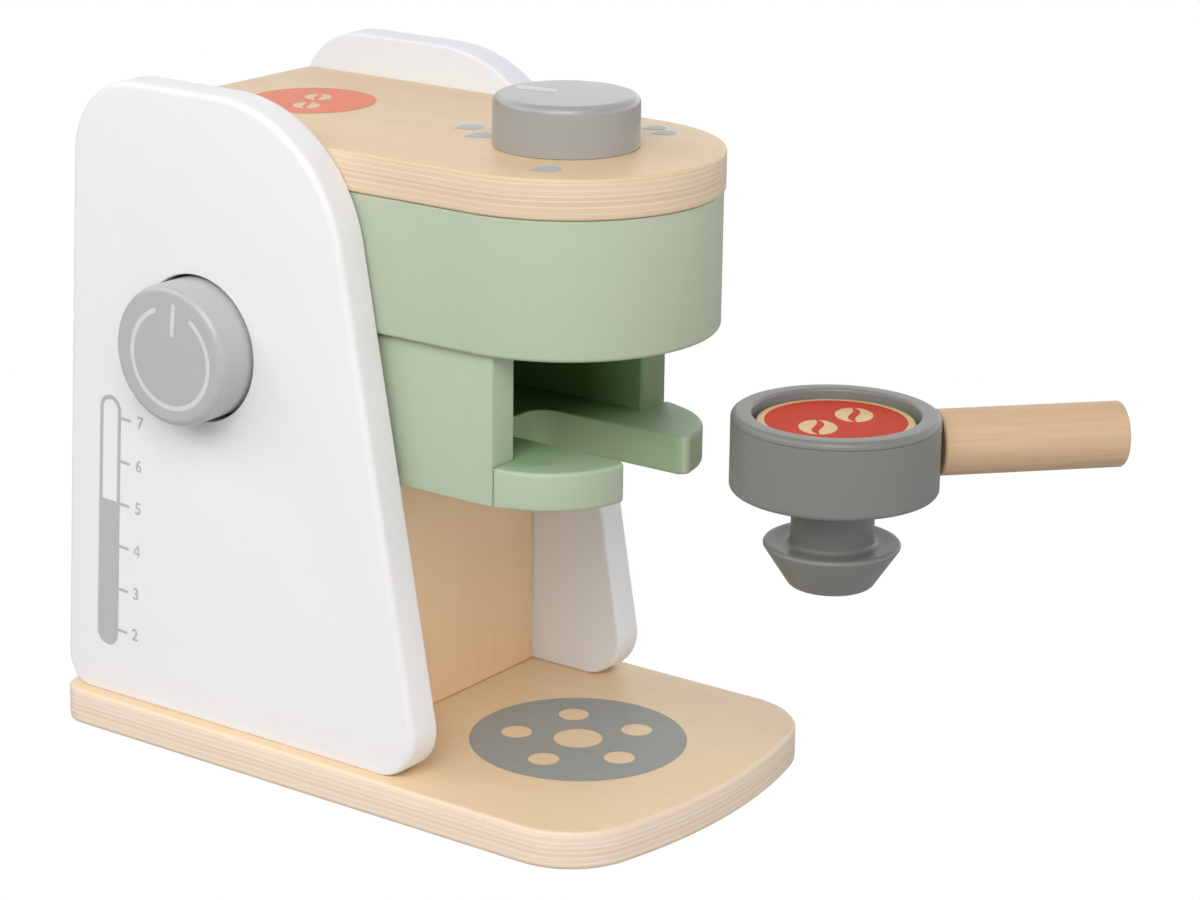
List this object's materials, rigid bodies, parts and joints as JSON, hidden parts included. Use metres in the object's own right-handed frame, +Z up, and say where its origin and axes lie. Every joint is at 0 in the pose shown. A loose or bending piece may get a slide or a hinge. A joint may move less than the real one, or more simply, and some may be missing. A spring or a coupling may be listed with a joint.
{
  "type": "toy coffee maker",
  "caption": "Toy coffee maker of painted and bare wood with a push button, a turning dial, and a handled cup that slides into a fork",
  "frame": {"origin": "centre of the base's bottom face", "axes": "+Z up, the front with the cup bay faces -Y, +X to the right seen from the front"},
  "size_m": [0.1169, 0.262, 0.178],
  "materials": {
    "plywood": "clear lacquer",
    "white_paint": "white satin paint",
    "green_paint": "sage green satin paint",
    "wall_wood": "bare",
    "grey_gloss": "gloss",
    "grey_satin": "satin",
    "handle_wood": "clear lacquer",
    "steel": "zinc plated",
    "pin_wood": "bare"
  },
  "bodies": {
    "machine": {"base_plate": "plywood", "side_panel_left": "white_paint", "side_panel_right": "white_paint", "top_plate": "plywood", "head_block": "green_paint", "cheek_left": "green_paint", "cheek_right": "green_paint", "fork_plate": "green_paint", "column_wall": "wall_wood", "back_board": "plywood", "button_block": "wall_wood", "button_spring": "steel", "dowel_pins": "pin_wood", "base_screws": "steel"},
    "button": {"power_button": "grey_gloss"},
    "dial": {"dial_knob": "grey_gloss", "dial_washer": "steel", "dial_screw": "steel"},
    "portafilter": {"cup_shell": "grey_satin", "cup_insert": "grey_satin", "handle": "handle_wood", "handle_screw": "steel"},
    "pad": {"coffee_pad": "plywood"}
  },
  "joints": [
    {"name": "button_push", "type": "slide", "parent": "machine", "child": "button", "axis": [1, 0, 0], "range_m": [0, 0.004], "stiffness_N_per_m": 400, "springref_m": -0.002, "deforming": ["button_spring"]},
    {"name": "dial_turn", "type": "hinge", "parent": "machine", "child": "dial", "pos_m": [0, -0.0382, 0.17], "axis": [0, 0, 1], "continuous": true},
    {"name": "portafilter_slide", "type": "slide", "parent": "machine", "child": "portafilter", "axis": [0, 1, 0], "range_m": [0, 0.0862]},
    {"name": "pad_lift", "type": "slide", "parent": "portafilter", "child": "pad", "axis": [0, 0, 1], "range_m": [0, 0.0068]}
  ]
}
